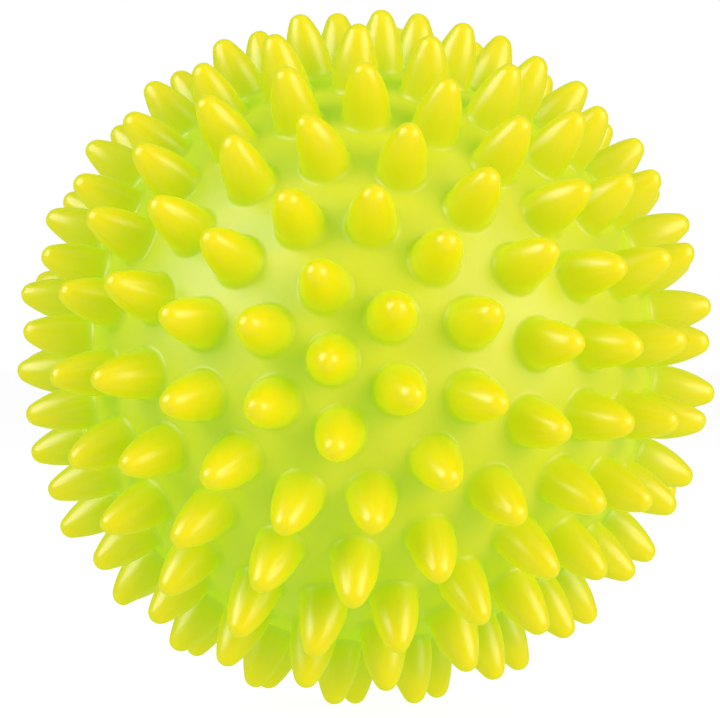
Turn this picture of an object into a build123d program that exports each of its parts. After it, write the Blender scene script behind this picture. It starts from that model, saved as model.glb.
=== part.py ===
"""A hand massage ball: a hollow soft-PVC shell with moulded spikes, a grommet valve and its stopper.

The origin is the centre of the ball and +Z is up. The spikes stand in rings about the Y axis: one spike
on the front pole at -Y, rings of spikes back to the equator and mirrored behind it, and the valve on the
rear pole at +Y.
"""

from build123d import *

import os
from math import cos, radians, sin

# Driving dimensions, in millimetres and degrees
TIP_RADIUS = 45.0  # ball centre to the top of a spike
BODY_RADIUS = 37.0  # ball centre to the skin between the spikes
WALL = 2.0  # thickness of the skin

SPIKE_BASE_RADIUS = 2.8  # where the spike meets the skin
SPIKE_TIP_RADIUS = 1.5  # rounding of the point
SPIKE_TIP_SWEEP = 63.0  # how far the rounding turns before the side begins
SPIKE_ROOT_DEPTH = 0.8  # how far the spike starts below the skin

RING_COUNTS = (1, 6, 12, 16, 22, 25, 26, 25)  # spikes on each ring, from the front pole to the equator
RING_STARTS = (0, 0.6, 0.5, 0.2, 0.2, 0.2, 0.2, 0.6)  # first spike past +X, in that ring's own spacing
EQUATOR = len(RING_COUNTS) - 1  # number of the ring on the equator
RING_STEP = 90.0 / EQUATOR  # angle between one ring and the next

SEAT_RADIUS = 3.9  # spot face in the skin for the valve's flange
SEAT_Y = BODY_RADIUS - 0.8  # height of that spot face along the pole
PAD_RADIUS = 5.5  # thicker skin inside, around the valve
PAD_Y = SEAT_Y - 2.8  # inner face of that pad
NECK_RADIUS = 2.6  # the hole through the pad
BARB_RADIUS = 3.5  # lip that holds the valve from inside
BARB_LENGTH = 2.0  # the barb's slope, from its lip down to the sleeve
SLEEVE_RADIUS = 2.1  # soft tube that grips the stopper
SLEEVE_END_Y = BODY_RADIUS - 8.5
BORE_RADIUS = 1.1  # takes the stopper, or a pump needle
HEAD_SEAT_RADIUS = 2.7  # recess for the stopper's head
HEAD_SEAT_Y = BODY_RADIUS - 0.5

PLUG_GAP = 0.05  # clearance around the shank and under the head
PLUG_HEAD_RADIUS = 2.5  # sits in the valve's recess
PLUG_HEAD_Y = BODY_RADIUS + 0.7  # top of the stopper's head
PLUG_HEAD_EDGE = 0.5  # rounding of that head
PLUG_END_Y = SLEEVE_END_Y + 0.5  # end of the shank, just inside the sleeve
PLUG_TAPER = 0.5  # how much narrower the shank's end is
PLUG_TAPER_LENGTH = 1.0


def spike_planes():
    """A plane at the ball's centre for each spike, with the normal along that spike."""
    planes = []
    for ring in range(2 * EQUATOR):
        mirrored_ring = min(ring, 2 * EQUATOR - ring)
        count = RING_COUNTS[mirrored_ring]
        from_pole = radians(ring * RING_STEP)
        for place in range(count):
            around = radians(360.0 * (place + RING_STARTS[mirrored_ring]) / count)
            normal = (
                sin(from_pole) * cos(around),
                -cos(from_pole),
                sin(from_pole) * sin(around),
            )
            planes.append(Plane(origin=(0, 0, 0), z_dir=normal))
    return planes


# One spike, standing along +Z, with a bulging side that runs smoothly into its round tip
with BuildPart() as spike:
    with BuildSketch(Plane.XZ) as spike_profile:
        with BuildLine() as spike_outline:
            tip = CenterArc(
                (0, TIP_RADIUS - SPIKE_TIP_RADIUS), SPIKE_TIP_RADIUS, 90, -SPIKE_TIP_SWEEP
            )
            foot = (SPIKE_BASE_RADIUS, BODY_RADIUS - SPIKE_ROOT_DEPTH)
            side = TangentArc(tip @ 1, foot, tangent=tip % 1)
            axis_foot = (0, BODY_RADIUS - SPIKE_ROOT_DEPTH)
            Polyline(foot, axis_foot, tip @ 0)
        make_face()
    revolve(axis=Axis.Z)

# The shell: skin and spikes in one piece, hollow, with a pad and a stepped hole for the valve
with BuildPart() as ball_shell:
    Sphere(BODY_RADIUS, rotation=(90, 0, 0))
    with Locations(*spike_planes()):
        add(spike.part)
    Sphere(BODY_RADIUS - WALL, rotation=(90, 0, 0), mode=Mode.SUBTRACT)
    with BuildSketch(Plane.XY):
        with Locations((PAD_RADIUS / 2, (PAD_Y + SEAT_Y) / 2)):
            Rectangle(PAD_RADIUS, SEAT_Y - PAD_Y)
    revolve(axis=Axis.Y)
    with BuildSketch(Plane.XY):
        with Locations((NECK_RADIUS / 2, (PAD_Y + TIP_RADIUS) / 2)):
            Rectangle(NECK_RADIUS, TIP_RADIUS - PAD_Y + WALL)
        with Locations((SEAT_RADIUS / 2, (SEAT_Y + TIP_RADIUS) / 2)):
            Rectangle(SEAT_RADIUS, TIP_RADIUS - SEAT_Y)
    revolve(axis=Axis.Y, mode=Mode.SUBTRACT)
ball_shell.part.label = "ball_shell"

# The valve: a soft grommet with a flange outside, a barb inside and a sleeve below
with BuildPart() as valve_body:
    with BuildSketch(Plane.XY):
        with BuildLine():
            Polyline(
                (BORE_RADIUS, SLEEVE_END_Y),
                (SLEEVE_RADIUS, SLEEVE_END_Y),
                (SLEEVE_RADIUS, PAD_Y - BARB_LENGTH),
                (BARB_RADIUS, PAD_Y),
                (NECK_RADIUS, PAD_Y),
                (NECK_RADIUS, SEAT_Y),
                (SEAT_RADIUS, SEAT_Y),
                (SEAT_RADIUS, BODY_RADIUS),
                (HEAD_SEAT_RADIUS, BODY_RADIUS),
                (HEAD_SEAT_RADIUS, HEAD_SEAT_Y),
                (BORE_RADIUS, HEAD_SEAT_Y),
                close=True,
            )
        make_face()
    revolve(axis=Axis.Y)
valve_body.part.label = "valve_body"

# The stopper: a mushroom head on a tapered shank
with BuildPart() as valve_plug:
    with BuildSketch(Plane.XY):
        with BuildLine():
            Polyline(
                (0, PLUG_END_Y),
                (BORE_RADIUS - PLUG_GAP - PLUG_TAPER, PLUG_END_Y),
                (BORE_RADIUS - PLUG_GAP, PLUG_END_Y + PLUG_TAPER_LENGTH),
                (BORE_RADIUS - PLUG_GAP, HEAD_SEAT_Y + PLUG_GAP),
                (PLUG_HEAD_RADIUS, HEAD_SEAT_Y + PLUG_GAP),
                (PLUG_HEAD_RADIUS, PLUG_HEAD_Y),
                (0, PLUG_HEAD_Y),
                close=True,
            )
        make_face()
    revolve(axis=Axis.Y)
    fillet(valve_plug.edges().group_by(Axis.Y)[-1], radius=PLUG_HEAD_EDGE)
valve_plug.part.label = "valve_plug"

os.makedirs("parts", exist_ok=True)
for piece in (ball_shell, valve_body, valve_plug):
    export_step(piece.part, f"parts/{piece.part.label}.step")
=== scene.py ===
"""Looks for the spiky massage ball: a soft translucent lime shell, its grommet valve and the stopper."""

import math
import random

import bmesh
import bpy
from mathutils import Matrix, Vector
from mathutils.geometry import delaunay_2d_cdt
from mathutils.noise import noise


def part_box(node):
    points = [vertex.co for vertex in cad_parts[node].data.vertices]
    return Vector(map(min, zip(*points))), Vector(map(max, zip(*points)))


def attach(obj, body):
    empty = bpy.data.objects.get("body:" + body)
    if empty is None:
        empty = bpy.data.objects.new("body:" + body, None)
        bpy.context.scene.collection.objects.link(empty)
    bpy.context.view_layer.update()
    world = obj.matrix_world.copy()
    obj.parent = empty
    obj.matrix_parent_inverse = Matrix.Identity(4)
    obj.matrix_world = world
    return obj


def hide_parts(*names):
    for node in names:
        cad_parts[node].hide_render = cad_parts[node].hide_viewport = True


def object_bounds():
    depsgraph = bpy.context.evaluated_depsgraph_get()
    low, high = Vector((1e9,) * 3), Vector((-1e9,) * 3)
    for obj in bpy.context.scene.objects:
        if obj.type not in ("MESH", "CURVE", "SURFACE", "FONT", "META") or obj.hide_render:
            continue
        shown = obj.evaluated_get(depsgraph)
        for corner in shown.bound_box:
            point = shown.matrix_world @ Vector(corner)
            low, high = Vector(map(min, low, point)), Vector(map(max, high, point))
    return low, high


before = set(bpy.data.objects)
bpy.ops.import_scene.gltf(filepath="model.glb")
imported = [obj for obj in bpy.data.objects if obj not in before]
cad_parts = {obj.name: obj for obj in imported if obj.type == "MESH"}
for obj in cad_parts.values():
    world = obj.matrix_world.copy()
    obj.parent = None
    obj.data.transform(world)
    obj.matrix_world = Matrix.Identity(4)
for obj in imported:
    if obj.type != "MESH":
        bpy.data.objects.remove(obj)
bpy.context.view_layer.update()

MM = 0.001
VALVE_LOW, VALVE_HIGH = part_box("valve_body")
PLUG_LOW, PLUG_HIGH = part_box("valve_plug")

# Sizes that the frame gives
TIP_RADIUS = -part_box("ball_shell")[0].y
BODY_RADIUS = VALVE_HIGH.y
SEAT_RADIUS = VALVE_HIGH.x

# The design's other sizes, as in the CAD
WALL = 2.0 * MM
SPIKE_BASE_RADIUS = 2.8 * MM
SPIKE_TIP_RADIUS = 1.5 * MM
SPIKE_TIP_SWEEP = math.radians(63.0)
SPIKE_ROOT_DEPTH = 0.8 * MM
RING_COUNTS = (1, 6, 12, 16, 22, 25, 26, 25)
RING_STARTS = (0, 0.6, 0.5, 0.2, 0.2, 0.2, 0.2, 0.6)  # first spike past +X, in that ring's own spacing
EQUATOR = len(RING_COUNTS) - 1
RING_STEP = 90.0 / EQUATOR
SEAT_Y = BODY_RADIUS - 0.8 * MM  # spot face under the valve's flange
PAD_RADIUS = 5.5 * MM  # thicker skin inside, around the valve
PAD_Y = SEAT_Y - 2.8 * MM
NECK_RADIUS = 2.6 * MM
BARB_RADIUS = 3.5 * MM
BARB_LENGTH = 2.0 * MM
SLEEVE_RADIUS = 2.1 * MM
BORE_RADIUS = 1.1 * MM
HEAD_SEAT_RADIUS = 2.7 * MM  # recess for the stopper's head
HEAD_SEAT_Y = BODY_RADIUS - 0.5 * MM
SHANK_RADIUS = 1.05 * MM
NOSE_RADIUS = 0.55 * MM
NOSE_LENGTH = 1.0 * MM
UNDER_HEAD_Y = BODY_RADIUS - 0.45 * MM

# How the moulding softens the design
ROOT_RADIUS = 3.6 * MM  # where a spike's flare runs out into the skin
FLARE_HEIGHT = 1.1 * MM  # how far the flare climbs the spike
FLARE_STEPS = 6
SIDE_STEPS = 8
TIP_STEPS = 4
SPIKE_SEGMENTS = 20
VALVE_SEGMENTS = 48
SKIN_SPACING = 1.0 * MM  # between the points of the skin mesh
LEAN = 0.35 * MM  # how far a spike's tip strays sideways
SHORTEST, LONGEST = -0.25, 0.1  # how far a spike's length strays, in millimetres
RIPPLE = 0.05 * MM  # unevenness of the skin
RIPPLE_SCALE = 90.0  # of the noise, per metre
PAD_EDGE = 0.2 * MM  # bevel of the pad
INSIDE_STEPS = 40  # from the front of the hollow to the pad
VALVE_ROUNDING = 0.15 * MM
STOPPER_ROUNDING = 0.22 * MM

random.seed(9)


# ---------------------------------------------------------------- shell

def spike_directions():
    """The way each spike points: rings about the Y axis, from the front pole back to the valve."""
    directions = []
    for ring in range(2 * EQUATOR):
        mirrored_ring = min(ring, 2 * EQUATOR - ring)
        count = RING_COUNTS[mirrored_ring]
        from_pole = math.radians(ring * RING_STEP)
        for place in range(count):
            around = math.radians(360.0 * (place + RING_STARTS[mirrored_ring]) / count)
            directions.append(Vector((
                math.sin(from_pole) * math.cos(around),
                -math.cos(from_pole),
                math.sin(from_pole) * math.sin(around),
            )))
    return directions


def spike_profile():
    """(distance from the spike's axis, distance out from the ball's centre), from the root to the tip."""
    tip_centre = TIP_RADIUS - SPIKE_TIP_RADIUS
    turned = math.pi / 2 - SPIKE_TIP_SWEEP
    shoulder = Vector((
        SPIKE_TIP_RADIUS * math.cos(turned),
        tip_centre + SPIKE_TIP_RADIUS * math.sin(turned),
    ))
    along = Vector((math.sin(turned), -math.cos(turned)))
    foot = Vector((SPIKE_BASE_RADIUS, BODY_RADIUS - SPIKE_ROOT_DEPTH))
    chord = foot - shoulder
    half_turn = along.angle_signed(chord)
    bulge = chord.length / (2 * math.sin(abs(half_turn)))
    centre = shoulder + Vector((along.y, -along.x)) * math.copysign(bulge, half_turn)

    def side(out):
        """Half-width of the bulging side at a distance from the ball's centre."""
        return centre.x + math.sqrt(max(bulge ** 2 - (out - centre.y) ** 2, 0.0))

    root_out = BODY_RADIUS * math.cos(ROOT_RADIUS / BODY_RADIUS)
    side_low = root_out + FLARE_HEIGHT
    slope = (side(side_low + 0.01 * MM) - side(side_low)) / (0.01 * MM)
    root = Vector((ROOT_RADIUS, root_out))
    crease = Vector((side(side_low) - slope * FLARE_HEIGHT, root_out))
    flare_top = Vector((side(side_low), side_low))
    points = []
    for step in range(FLARE_STEPS):
        t = step / FLARE_STEPS
        points.append(tuple(root * (1 - t) ** 2 + crease * (2 * t * (1 - t)) + flare_top * t ** 2))
    for step in range(SIDE_STEPS):
        out = side_low + (shoulder.y - side_low) * step / SIDE_STEPS
        points.append((side(out), out))
    for step in range(TIP_STEPS):
        turn = turned + SPIKE_TIP_SWEEP * step / TIP_STEPS
        points.append((
            SPIKE_TIP_RADIUS * math.cos(turn),
            tip_centre + SPIKE_TIP_RADIUS * math.sin(turn),
        ))
    return points


def across_axes(direction):
    """Two unit vectors square to a direction and to each other."""
    helper = Vector((0, 0, 1)) if abs(direction.z) < 0.8 else Vector((1, 0, 0))
    first = direction.cross(helper).normalized()
    return first, direction.cross(first)


def uneven(point):
    """The point moved in or out a little, so that the moulded surface isn't quite even."""
    return point * (1.0 + noise(point * RIPPLE_SCALE) * RIPPLE / BODY_RADIUS)


def add_spike(direction, profile, verts, faces):
    """Adds one spike and returns the indices of its root circle."""
    first, second = across_axes(direction)
    lean = first * random.gauss(0, LEAN) + second * random.gauss(0, LEAN)
    length = random.uniform(SHORTEST, LONGEST) * MM
    root_out = profile[0][1]
    start = len(verts)
    for level, (across, out) in enumerate(profile):
        rise = (out - root_out) / (TIP_RADIUS - root_out)
        middle = direction * (out + length * rise) + lean * rise ** 2
        for segment in range(SPIKE_SEGMENTS):
            turn = math.tau * segment / SPIKE_SEGMENTS
            point = middle + (first * math.cos(turn) + second * math.sin(turn)) * across
            if level == 0:
                point = point.normalized() * BODY_RADIUS
            verts.append(uneven(point))
    for level in range(len(profile) - 1):
        low = start + level * SPIKE_SEGMENTS
        high = low + SPIKE_SEGMENTS
        for segment in range(SPIKE_SEGMENTS):
            after = (segment + 1) % SPIKE_SEGMENTS
            faces.append((low + segment, low + after, high + after, high + segment))
    top = len(verts) - SPIKE_SEGMENTS
    verts.append(uneven(direction * (TIP_RADIUS + length) + lean))
    for segment in range(SPIKE_SEGMENTS):
        faces.append((top + segment, top + (segment + 1) % SPIKE_SEGMENTS, len(verts) - 1))
    return list(range(start, start + SPIKE_SEGMENTS))


def lathe(profile, segments, verts, faces):
    """Turns (radius, y) points about the Y axis and returns the last ring. A radius of 0 is one point."""
    before = None
    for radius, y in profile:
        if radius == 0:
            verts.append(Vector((0, y, 0)))
            ring = [len(verts) - 1]
        else:
            ring = list(range(len(verts), len(verts) + segments))
            for segment in range(segments):
                turn = math.tau * segment / segments
                verts.append(Vector((radius * math.cos(turn), y, radius * math.sin(turn))))
        if before is not None:
            for segment in range(segments):
                after = (segment + 1) % segments
                corners = [
                    before[segment % len(before)], before[after % len(before)],
                    ring[after % len(ring)], ring[segment % len(ring)],
                ]
                faces.append(tuple(dict.fromkeys(corners)))
        before = ring
    return before


def flattened(point):
    """The ball's skin laid on a plane from the rear pole, which keeps every circle a circle."""
    out = point.normalized()
    return Vector((out.x, out.z)) / (1.0 - out.y)


def skin_points(directions):
    """Evenly spread points on the skin, clear of the spikes' roots and of the valve."""
    count = round(4 * math.pi * BODY_RADIUS ** 2 / (SKIN_SPACING ** 2 * 0.87))
    golden = math.pi * (3 - math.sqrt(5))
    clear_root = math.cos((ROOT_RADIUS + 0.5 * SKIN_SPACING) / BODY_RADIUS)
    clear_valve = math.cos((SEAT_RADIUS + 0.3 * SKIN_SPACING) / BODY_RADIUS)
    points = []
    for index in range(count):
        y = 1 - 2 * (index + 0.5) / count
        across = math.sqrt(1 - y * y)
        point = Vector((across * math.cos(golden * index), y, across * math.sin(golden * index)))
        if y > clear_valve:
            continue
        if max(point.dot(direction) for direction in directions) < clear_root:
            points.append(uneven(point * BODY_RADIUS))
    return points


def inside_profile():
    """(radius, y) of the hollow, from the front round to the pad, then out through the valve's seat."""
    inner = BODY_RADIUS - WALL
    last = math.pi - math.asin(PAD_RADIUS / inner)
    points = [(0, -inner)]
    for step in range(1, INSIDE_STEPS + 1):
        turn = last * step / INSIDE_STEPS
        points.append((inner * math.sin(turn), -inner * math.cos(turn)))
    points += [(PAD_RADIUS, PAD_Y + PAD_EDGE), (PAD_RADIUS - PAD_EDGE, PAD_Y)]
    points += [(NECK_RADIUS, PAD_Y), (NECK_RADIUS, SEAT_Y), (SEAT_RADIUS, SEAT_Y)]
    points.append((SEAT_RADIUS, math.sqrt(BODY_RADIUS ** 2 - SEAT_RADIUS ** 2)))
    return points


def mesh_object(name, verts, faces):
    """A smooth-shaded object with its faces turned outwards."""
    mesh = bpy.data.meshes.new(name)
    mesh.from_pydata([tuple(v) for v in verts], [], faces)
    work = bmesh.new()
    work.from_mesh(mesh)
    bmesh.ops.remove_doubles(work, verts=work.verts, dist=1e-7)
    bmesh.ops.recalc_face_normals(work, faces=work.faces)
    work.to_mesh(mesh)
    work.free()
    mesh.shade_smooth()
    piece = bpy.data.objects.new(name, mesh)
    bpy.context.scene.collection.objects.link(piece)
    return piece


def make_shell():
    """The hollow ball: spikes, the skin between them, and the inside, welded into one closed mesh."""
    verts, faces = [], []
    directions = spike_directions()
    profile = spike_profile()
    circles = [add_spike(direction, profile, verts, faces) for direction in directions]
    circles.append(lathe(inside_profile(), VALVE_SEGMENTS, verts, faces))
    owner = {}
    for number, circle in enumerate(circles):
        for index in circle:
            owner[index] = number
    loose = len(verts)
    verts.extend(skin_points(directions))
    used = list(owner) + list(range(loose, len(verts)))
    place = {index: order for order, index in enumerate(used)}
    edges = []
    for circle in circles:
        for here, after in zip(circle, circle[1:] + circle[:1]):
            edges.append((place[here], place[after]))
    flat = [flattened(verts[index]) for index in used]
    result = delaunay_2d_cdt(flat, edges, [], 0, 1e-7)
    originals = [used[sources[0]] for sources in result[3]]
    for triangle in result[2]:
        corners = [originals[index] for index in triangle]
        owners = {owner.get(index, -1 - index) for index in corners}
        if len(owners) > 1:
            faces.append(tuple(corners))
    return mesh_object("ball", verts, faces)


# ---------------------------------------------------------------- valve

def rounded(points, radius, steps=4):
    """The outline with each corner but its two ends turned by a small curve."""
    outline = [Vector(points[0])]
    for before, here, after in zip(points, points[1:], points[2:]):
        before, here, after = Vector(before), Vector(here), Vector(after)
        reach = min(radius, (before - here).length * 0.45, (after - here).length * 0.45)
        start = here + (before - here).normalized() * reach
        end = here + (after - here).normalized() * reach
        for step in range(steps + 1):
            t = step / steps
            outline.append(start * (1 - t) ** 2 + here * (2 * t * (1 - t)) + end * t ** 2)
    outline.append(Vector(points[-1]))
    return outline


def turned_piece(name, points, rounding):
    """A lathe-turned piece from (radius, y) corners, which close on the axis or on the first corner."""
    verts, faces = [], []
    lathe([tuple(corner) for corner in rounded(points, rounding)], VALVE_SEGMENTS, verts, faces)
    return mesh_object(name, verts, faces)


def make_valve():
    """The soft grommet: a flange that slopes to its edge, a neck, a barb and the sleeve below."""
    edge_drop = 0.25 * MM
    middle_y = (VALVE_LOW.y + PAD_Y) / 2
    return turned_piece("valve_grommet", [
        (BORE_RADIUS, middle_y),
        (BORE_RADIUS, VALVE_LOW.y),
        (SLEEVE_RADIUS, VALVE_LOW.y),
        (SLEEVE_RADIUS, PAD_Y - BARB_LENGTH),
        (BARB_RADIUS, PAD_Y - 0.3 * MM),
        (BARB_RADIUS, PAD_Y),
        (NECK_RADIUS, PAD_Y),
        (NECK_RADIUS, SEAT_Y),
        (SEAT_RADIUS, SEAT_Y),
        (SEAT_RADIUS, BODY_RADIUS - edge_drop),
        (0.92 * SEAT_RADIUS, BODY_RADIUS - 0.5 * edge_drop),
        (HEAD_SEAT_RADIUS + 0.35 * MM, BODY_RADIUS),
        (HEAD_SEAT_RADIUS, BODY_RADIUS),
        (HEAD_SEAT_RADIUS, HEAD_SEAT_Y),
        (BORE_RADIUS, HEAD_SEAT_Y),
        (BORE_RADIUS, middle_y),
    ], VALVE_ROUNDING)


def make_stopper():
    """The stopper: a low crowned head with a groove round its middle, on a shank with a rounded nose."""
    head = PLUG_HIGH.x
    top = PLUG_HIGH.y
    return turned_piece("stopper", [
        (0, PLUG_LOW.y),
        (NOSE_RADIUS, PLUG_LOW.y),
        (SHANK_RADIUS, PLUG_LOW.y + NOSE_LENGTH),
        (SHANK_RADIUS, UNDER_HEAD_Y),
        (head, UNDER_HEAD_Y),
        (head, top - 0.45 * MM),
        (0.82 * head, top - 0.12 * MM),
        (0.6 * head, top - 0.05 * MM),
        (0.52 * head, top - 0.3 * MM),
        (0.36 * head, top - 0.3 * MM),
        (0.28 * head, top - 0.02 * MM),
        (0, top),
    ], STOPPER_ROUNDING)


# ---------------------------------------------------------------- materials

def new_material(name):
    """A node material with its nodes and links."""
    material = bpy.data.materials.new(name)
    material.use_nodes = True
    return material, material.node_tree.nodes, material.node_tree.links


def ramp(nodes, *stops):
    """A colour ramp node through (position, linear colour) stops."""
    node = nodes.new("ShaderNodeValToRGB")
    node.color_ramp.interpolation = "EASE"
    elements = node.color_ramp.elements
    while len(elements) < len(stops):
        elements.new(0.5)
    for element, (position, colour) in zip(elements, stops):
        element.position = position
        element.color = (*colour, 1)
    return node


def soft_pvc():
    """Translucent lime PVC: yellower and smoother out at the tips, greener and duller on the skin; the
    yellower tips are painted light, the greener skin painted shade.

    The green emission is painted light, there for the look: it keeps the green nearly even from light to
    shade, and its extra red low on the spikes lifts their shaded bases.
    """
    material, nodes, links = new_material("soft_pvc")
    shader = nodes["Principled BSDF"]
    place = nodes.new("ShaderNodeTexCoord")

    distance = nodes.new("ShaderNodeVectorMath")
    distance.operation = "LENGTH"
    links.new(place.outputs["Object"], distance.inputs[0])
    height = nodes.new("ShaderNodeMapRange")
    height.inputs["From Min"].default_value = BODY_RADIUS
    height.inputs["From Max"].default_value = TIP_RADIUS
    links.new(distance.outputs["Value"], height.inputs["Value"])
    cloud = nodes.new("ShaderNodeTexNoise")
    cloud.inputs["Scale"].default_value = 60.0
    links.new(place.outputs["Object"], cloud.inputs["Vector"])
    cloudy = nodes.new("ShaderNodeMath")
    cloudy.operation = "MULTIPLY_ADD"
    cloudy.inputs[1].default_value = 0.2
    links.new(cloud.outputs["Fac"], cloudy.inputs[0])
    links.new(height.outputs["Result"], cloudy.inputs[2])

    # Painted light and shade: the base colour is yellower at the tips, as light through thin plastic, and
    # greener on the skin, where shade falls between the spikes.
    tint = ramp(nodes, (0.1, (0.64, 0.36, 0.02)), (0.35, (0.65, 0.36, 0.01)), (1.0, (0.76, 0.38, 0.0)))
    links.new(cloudy.outputs["Value"], tint.inputs["Fac"])
    links.new(tint.outputs["Color"], shader.inputs["Base Color"])
    # Painted light: a glow over the whole shell that lifts its shade, with more red low on the spikes to
    # light their shaded bases.
    painted_glow = ramp(nodes, (0.1, (0.05, 0.40, 0.0)), (0.35, (0.09, 0.38, 0.0)), (1.0, (0.10, 0.40, 0.0)))
    links.new(cloudy.outputs["Value"], painted_glow.inputs["Fac"])
    links.new(painted_glow.outputs["Color"], shader.inputs["Emission Color"])
    shader.inputs["Emission Strength"].default_value = 1.0
    polish = nodes.new("ShaderNodeMapRange")
    polish.interpolation_type = "SMOOTHSTEP"
    polish.inputs["To Min"].default_value = 0.42
    polish.inputs["To Max"].default_value = 0.3
    links.new(cloudy.outputs["Value"], polish.inputs["Value"])
    links.new(polish.outputs["Result"], shader.inputs["Roughness"])

    grain = nodes.new("ShaderNodeTexNoise")
    grain.inputs["Scale"].default_value = 900.0
    grain.inputs["Detail"].default_value = 3.0
    links.new(place.outputs["Object"], grain.inputs["Vector"])
    bump = nodes.new("ShaderNodeBump")
    bump.inputs["Strength"].default_value = 0.06
    bump.inputs["Distance"].default_value = 0.2 * MM
    links.new(grain.outputs["Fac"], bump.inputs["Height"])
    links.new(bump.outputs["Normal"], shader.inputs["Normal"])

    shader.inputs["IOR"].default_value = 1.5
    shader.inputs["Subsurface Weight"].default_value = 0.7
    shader.inputs["Subsurface Radius"].default_value = (1.0, 1.2, 0.1)
    shader.inputs["Subsurface Scale"].default_value = 2.0 * MM
    return material


def moulded(name, colour, deep_colour, roughness):
    """Small moulded pieces: a faint mottle in the colour and a fine grain."""
    material, nodes, links = new_material(name)
    shader = nodes["Principled BSDF"]
    place = nodes.new("ShaderNodeTexCoord")
    mottle = nodes.new("ShaderNodeTexNoise")
    mottle.inputs["Scale"].default_value = 500.0
    mottle.inputs["Detail"].default_value = 4.0
    links.new(place.outputs["Object"], mottle.inputs["Vector"])
    tint = nodes.new("ShaderNodeValToRGB")
    tint.color_ramp.elements[0].position = 0.3
    tint.color_ramp.elements[0].color = deep_colour
    tint.color_ramp.elements[1].position = 0.7
    tint.color_ramp.elements[1].color = colour
    links.new(mottle.outputs["Fac"], tint.inputs["Fac"])
    links.new(tint.outputs["Color"], shader.inputs["Base Color"])
    bump = nodes.new("ShaderNodeBump")
    bump.inputs["Strength"].default_value = 0.1
    bump.inputs["Distance"].default_value = 0.1 * MM
    links.new(mottle.outputs["Fac"], bump.inputs["Height"])
    links.new(bump.outputs["Normal"], shader.inputs["Normal"])
    shader.inputs["Roughness"].default_value = roughness
    return material


# ---------------------------------------------------------------- pieces

ball = make_shell()
ball.data.materials.append(soft_pvc())
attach(ball, "ball")
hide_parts("ball_shell")

valve = make_valve()
valve.data.materials.append(
    moulded("valve_rubber", (0.86, 0.9, 0.32, 1), (0.78, 0.84, 0.24, 1), 0.45)
)
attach(valve, "ball")
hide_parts("valve_body")

stopper = make_stopper()
stopper.data.materials.append(
    moulded("stopper_plastic", (0.9, 0.9, 0.86, 1), (0.84, 0.84, 0.8, 1), 0.4)
)
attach(stopper, "plug")
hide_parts("valve_plug")


# ---------------------------------------------------------------- studio

CAMERA_DISTANCE = 7.0 * (TIP_RADIUS - SPIKE_TIP_RADIUS)
CAMERA_AZIMUTH = math.radians(6.0)
CAMERA_ELEVATION = math.radians(0.46)
CAMERA_LENS = 117.4
CAMERA_SHIFT = (-0.0088, -0.0025)
SENSOR_WIDTH = 36.0
FLOOR_HALF = 3.0
LAMP_DISTANCE = 0.6


def from_angles(azimuth, elevation):
    """The unit vector towards a point at that azimuth from -Y towards +X, and that height."""
    return Vector((
        math.sin(azimuth) * math.cos(elevation),
        -math.cos(azimuth) * math.cos(elevation),
        math.sin(elevation),
    ))


def aim(thing):
    """Turns a camera or a lamp to face the middle of the ball."""
    thing.rotation_euler = (-thing.location).to_track_quat("-Z", "Y").to_euler()


def softbox(name, azimuth, elevation, half_angle, radiance, colour):
    """A square area light of that radiance, which fills that half angle as seen from the ball."""
    light = bpy.data.lights.new(name, "AREA")
    light.shape = "SQUARE"
    light.size = 2 * LAMP_DISTANCE * math.tan(math.radians(half_angle))
    light.energy = radiance * math.pi * light.size ** 2
    light.color = colour
    lamp = bpy.data.objects.new(name, light)
    bpy.context.scene.collection.objects.link(lamp)
    lamp.location = from_angles(math.radians(azimuth), math.radians(elevation)) * LAMP_DISTANCE
    aim(lamp)
    return lamp


def make_camera():
    """A long lens, a little to the right of the front pole and a little above it."""
    data = bpy.data.cameras.new("camera")
    data.lens = CAMERA_LENS
    data.sensor_width = SENSOR_WIDTH
    data.clip_start = 0.01
    camera = bpy.data.objects.new("camera", data)
    bpy.context.scene.collection.objects.link(camera)
    camera.location = from_angles(CAMERA_AZIMUTH, CAMERA_ELEVATION) * CAMERA_DISTANCE
    aim(camera)
    data.shift_x, data.shift_y = CAMERA_SHIFT
    bpy.context.scene.camera = camera


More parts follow.
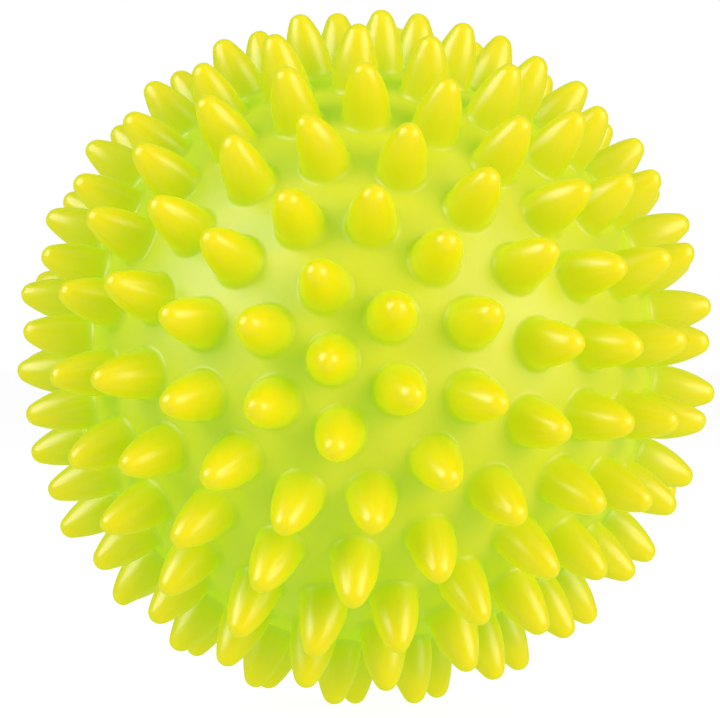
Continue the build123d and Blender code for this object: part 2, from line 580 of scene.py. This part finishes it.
def brightness(nodes, links, diffuse, glossy, camera):
    """A strength that differs for the light that is cast, for reflections, and as the camera sees it."""
    path = nodes.new("ShaderNodeLightPath")
    cast = nodes.new("ShaderNodeMapRange")
    cast.inputs["To Min"].default_value = diffuse
    cast.inputs["To Max"].default_value = glossy
    links.new(path.outputs["Is Glossy Ray"], cast.inputs["Value"])
    seen = nodes.new("ShaderNodeMapRange")
    seen.inputs["To Max"].default_value = camera
    links.new(cast.outputs["Result"], seen.inputs["To Min"])
    links.new(path.outputs["Is Camera Ray"], seen.inputs["Value"])
    return seen.outputs["Result"]


def make_floor():
    """A pale floor just under the lowest spikes."""
    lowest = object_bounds()[0][2]
    square = ((-1, -1), (1, -1), (1, 1), (-1, 1))
    corners = [(FLOOR_HALF * x, FLOOR_HALF * y, lowest) for x, y in square]
    mesh = bpy.data.meshes.new("floor")
    mesh.from_pydata(corners, [], [(0, 1, 2, 3)])
    floor = bpy.data.objects.new("floor", mesh)
    bpy.context.scene.collection.objects.link(floor)
    material, nodes, links = new_material("floor")
    shader = nodes["Principled BSDF"]
    shader.inputs["Base Color"].default_value = (0.15, 0.15, 0.15, 1)
    shader.inputs["Roughness"].default_value = 0.9
    shader.inputs["Emission Color"].default_value = (1, 1, 1, 1)
    links.new(brightness(nodes, links, 0.65, 0.2, 0.93), shader.inputs["Emission Strength"])
    mesh.materials.append(material)


def make_world():
    """A white surround that lights the ball only faintly."""
    world = bpy.data.worlds.new("studio")
    bpy.context.scene.world = world
    world.use_nodes = True
    nodes, links = world.node_tree.nodes, world.node_tree.links
    background = nodes["Background"]
    background.inputs["Color"].default_value = (1, 1, 1, 1)
    links.new(brightness(nodes, links, 0.2, 0.2, 1.0), background.inputs["Strength"])


make_camera()
make_floor()
make_world()
softbox("left_key", -42, 30, 14, 5.4, (0.86, 1.0, 1.0)).visible_glossy = False
softbox("left_reflection", -55, 30, 22, 6.0, (1.0, 0.86, 0.93)).visible_diffuse = False
softbox("right_key", 48, 16, 15, 6.1, (1.0, 0.97, 0.88)).visible_glossy = False
softbox("right_reflection", 66, 16, 23, 5.3, (1.0, 0.84, 0.7)).visible_diffuse = False
softbox("top_softbox", 45, 62, 30, 0.4, (1.0, 0.95, 0.85))
softbox("back_softbox", 180, 30, 26, 2.3, (1.0, 1.0, 1.0)).visible_glossy = False

bpy.context.scene.view_settings.view_transform = "Standard"
